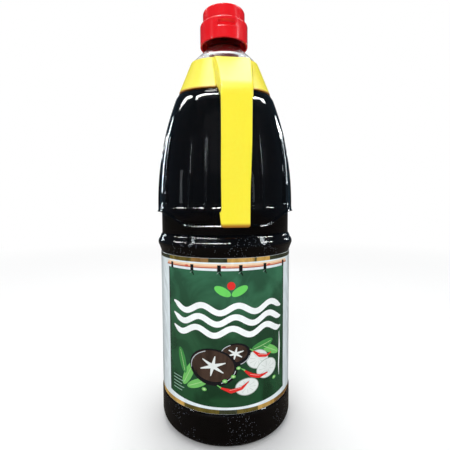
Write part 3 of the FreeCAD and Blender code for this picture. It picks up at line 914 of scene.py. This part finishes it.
def hem(x):
    """The field's lower edge, higher towards the sides."""
    return field_low + 2.6 * (abs(x) / 48) ** 2.2


print_sheet("print_green_field", field_left, field_right, hem, field_top, 1, green_field)
dark_edge = ink("dark_green", (0.006, 0.022, 0.012))
print_sheet("print_field_edge_left", field_left, field_left + 1.1, hem, field_top, 2, dark_edge, 0.6)
print_sheet("print_field_edge_right", field_right - 0.9, field_right, hem, field_top, 2, dark_edge, 0.6)

# %% [markdown]
# ## The pole and its loops
# The green field hangs like a shop curtain from a bamboo pole, tied by short dark loops whose ends
# curl over the cloth. The pole is pale above and peach below, over a thin line of shade.

# %% Print the pole
cream = ink("cream", (0.88, 0.66, 0.44))
peach = ink("peach", (0.78, 0.4, 0.24))
pole_shade = ink("pole_shade", (0.42, 0.1, 0.06))
loop_ink = ink("loops", (0.007, 0.008, 0.009))
print_ribbons("print_pole_top", [[(-49, 126.3, 1.2), (50, 126.3, 1.2)]], 2, cream)
print_ribbons("print_pole", [[(-49.5, 125.2, 1.1), (50.5, 125.2, 1.1)]], 3, peach)
print_ribbons("print_pole_shade", [[(-50, 124.4, 0.7), (51, 124.4, 0.7)]], 4, pole_shade)
loop_places = (-43.6, -25.2, -6.4, 7.8, 25.6, 45.2)
print_ribbons("print_loops", [[(x, 122, 2.4), (x, 126.2, 2.4)] for x in loop_places], 5, loop_ink)
tails = [[(x - 1.2, 122, 0.6), (x + 0.4, 120.9, 1.2), (x + 1.5, 119, 0.5)] for x in loop_places[1:5]]
print_ribbons("print_loop_tails", tails, 5, dark_edge)
glints = [[(x - 1.5, 120.4, 0.3), (x - 0.3, 121.6, 0.3)] for x in loop_places[1:5]]
print_ribbons("print_loop_light", glints, 6, ink("loop_light", (0.3, 0.42, 0.38)))
print_discs("print_bows", [(x, 125, 1.5, 0.7, 8) for x in (-29.5, -3.4, 28.8)], 6,
            ink("bow_red", (0.62, 0.1, 0.07)))

# %% [markdown]
# ## The emblem and the noodle waves
# A pack like this has a small emblem and a bold white title. This one has two leaves with a red
# berry, and three white brush strokes that wave like thick noodles.

# %% Print the emblem and the waves
leaf_green = ink("leaf_green", (0.14, 0.62, 0.11))
leaf_red = ink("berry_red", (0.7, 0.025, 0.02))
white_ink = ink("white", (0.88, 0.91, 0.91))
print_discs("print_emblem_leaves", [(-4.2, 109, 6, 2.7, -28), (7.2, 109, 6, 2.7, 28)], 2, leaf_green)
print_discs("print_emblem_berry", [(1.5, 112.6, 2.7, 2.7, 0)], 3, leaf_red)


def noodle_wave(height, phase, half_length=42):
    """A wavy line that thins out at both ends."""
    line = []
    for x in np.linspace(-half_length, half_length, 85):
        ends = min(1, (half_length - abs(x)) / 6 + 0.25)
        line.append((x, height + 2.4 * math.sin(x / 3.9 + phase), 4 * ends))
    return line


waves = [noodle_wave(97, 0), noodle_wave(89.4, 0.5), noodle_wave(81.8, 1)]
print_ribbons("print_noodle_waves", waves, 2, white_ink)

# %% [markdown]
# ## The ingredients
# The lower half shows what a noodle broth is made from: two dark mushrooms with a star cut in each
# cap, slices of white radish, red chillies and green leaves. All are ovals and short ribbons.

# %% Print the ingredients
cap_black = ink("mushroom_rim", (0.008, 0.008, 0.01))
cap_brown = ink("mushroom_top", (0.045, 0.026, 0.018), mottle=0.35)
radish = ink("radish", (0.74, 0.78, 0.76))
radish_ring = ink("radish_ring", (0.4, 0.47, 0.42))
leaf_light = ink("leaf_light", (0.16, 0.5, 0.12))
leaf_dark = ink("leaf_dark", (0.05, 0.26, 0.06))
pale_light = ink("rim_light", (0.5, 0.54, 0.56))

leaves = [(-29, 51, 10, 3.2, 62), (-34, 59, 9, 2.8, 105), (-22, 45.5, 9, 2.8, 25), (24, 70.5, 9, 3, 12),
          (31, 66, 9, 2.8, -28)]
print_discs("print_leaves", leaves[::2], 2, leaf_light)
print_discs("print_leaves_dark", leaves[1::2], 3, leaf_dark)
veins = [[on_oval(u, v, -0.8 * a, -0.8 * a, math.radians(tilt), 0.4),
          on_oval(u, v, 0.8 * a, 0.8 * a, math.radians(tilt), 0.3)] for u, v, a, b, tilt in leaves]
print_ribbons("print_leaf_veins", veins, 4, ink("leaf_vein", (0.42, 0.66, 0.3)))

slices = [(20, 61.5, 8.6, 6.6, -8), (27.5, 53.5, 8.8, 6.8, 6), (12, 44, 8.4, 6, 4)]
for number, (u, v, a, b, tilt) in enumerate(slices):
    layer = 4 + 3 * number
    turns = np.arange(9) * 2 * math.pi / 9 + number
    grain = [[on_oval(u, v, 2, 1.5, w, 0.25), on_oval(u, v, 0.75 * a, 0.75 * b, w, 0.4)] for w in turns]
    print_discs(f"print_radish_rim_{number}", [(u, v, a, b, tilt)], layer, radish_ring)
    print_discs(f"print_radish_{number}", [(u, v, a - 0.5, b - 0.5, tilt)], layer + 1, radish)
    grain_ink = ink(f"radish_grain_{number}", (0.55, 0.61, 0.57))
    print_ribbons(f"print_radish_grain_{number}", grain, layer + 2, grain_ink)

mushrooms = [(4, 66.5, 10.5, 7.8, 6), (-11, 58, 16.5, 12.5, -8)]
for number, (u, v, a, b, tilt) in enumerate(mushrooms):
    layer = 7 + 5 * number
    top = v + 0.9
    print_discs(f"print_mushroom_rim_{number}", [(u, v, a, b, tilt)], layer, cap_black)
    cap_top = [(u - 0.4, top, a - 1.8, b - 1.9, tilt)]
    print_discs(f"print_mushroom_top_{number}", cap_top, layer + 1, cap_brown)
    shine = [[on_oval(u, v, 0.93 * a, 0.9 * b, w, 0.5) for w in np.linspace(start, stop, 24)]
             for start, stop in ((1.9, 3.3), (-1.2, -0.2))]
    print_ribbons(f"print_mushroom_light_{number}", shine, layer + 1, pale_light)
    for cut, w in enumerate((0.35, 1.4, 2.45)):
        line = [on_oval(u, top, -0.55 * a, -0.55 * b, w, 0.6), (u, top, 0.17 * a),
                on_oval(u, top, 0.55 * a, 0.55 * b, w, 0.6)]
        print_ribbons(f"print_mushroom_cut_{number}_{cut}", [line], layer + 2 + cut, radish)

chillies = [[(-6, 44.5, 1), (1, 42, 2.8), (8, 43.5, 2.2), (13, 47.5, 0.6)],
            [(10, 55.5, 1), (15, 51.5, 2.8), (21, 49.5, 2.4), (28, 50.5, 0.6)],
            [(16, 68, 0.9), (21, 64, 2.4), (27, 62.5, 1.8), (31, 64, 0.5)]]
stalks = [[(u - 2.2, v + 1.6, 0.5), (u + 0.4, v, 1.2)] for (u, v, width), *rest in chillies]
shine = [[(line[1][0] - 1, line[1][1] + 0.7, 0.35), (line[2][0], line[2][1] + 0.6, 0.3)]
         for line in chillies]
print_ribbons("print_chillies", chillies, 19, leaf_red)
print_ribbons("print_chilli_stalks", stalks, 20, leaf_light)
print_ribbons("print_chilli_shine", shine, 20, ink("chilli_shine", (0.85, 0.35, 0.32)))

onions = [(-3, 49, 1.7, 1.3, 0), (2.5, 52, 1.6, 1.2, 0), (-17, 42.5, 1.7, 1.3, 0),
          (34, 45, 1.7, 1.3, 0), (6, 57.5, 1.5, 1.1, 0)]
hearts = [(u, v, 0.8, 0.6, 0) for u, v, *rest in onions]
print_discs("print_onion_rings", onions, 19, leaf_light)
print_discs("print_onion_hearts", hearts, 20, ink("onion_pale", (0.52, 0.68, 0.34)))

# %% [markdown]
# ## Small things on the front
# A brush stroke stands at the right edge, and a few pale rules fill the lower left corner.

# %% Print the small things
brush = [(40.4, 76, 0.4), (40.8, 66, 1.5), (40, 52, 1.2), (40.4, 44, 0.3)]
print_ribbons("print_brush_line", [brush], 2, white_ink)
rules = [[(-43.5, y, 0.55), (-35 + 2 * (number % 2), y - 0.4, 0.55)]
         for number, y in enumerate((46.5, 44.2, 41.9, 39.6, 37.3))]
print_ribbons("print_thin_rules", rules, 2, ink("rule_grey", (0.3, 0.46, 0.38)))

# %% [markdown]
# ## The back of the label
# The back has a plain panel with a green head and a table of fine rules, and the film's lap.

# %% Print the back
back_green = ink("back_green", (0.035, 0.12, 0.06))
table_left, table_middle, table_right, table_low, table_high, table_gap = 74, 107, 140, 46, 106, 6
print_sheet("print_back_head", table_left, table_right, 108, 118, 1, back_green)
rules = [[(table_left, v, 0.5), (table_right, v, 0.5)] for v in range(table_low, table_high + 1, table_gap)]
rules += [[(u, table_low, 0.5), (u, table_high, 0.5)] for u in (table_left, table_middle, table_right)]
print_ribbons("print_back_rules", rules, 3, ink("rule_dark", (0.08, 0.12, 0.1)), 1)
disc_heights = (103, 78, 53)
print_discs("print_back_discs", [(-table_middle, v, 9.5, 9.5, 0) for v in disc_heights], 1, back_green)
print_discs("print_back_slices", [(-table_middle, v, 6, 6, 0) for v in disc_heights], 2, radish)
lap = film_material("film_lap", (0.6, 0.69, 0.73))
print_sheet("film_lap", 153, 156.5, label_low + 0.2, label_high - 0.2, 3, lap, 0.5)
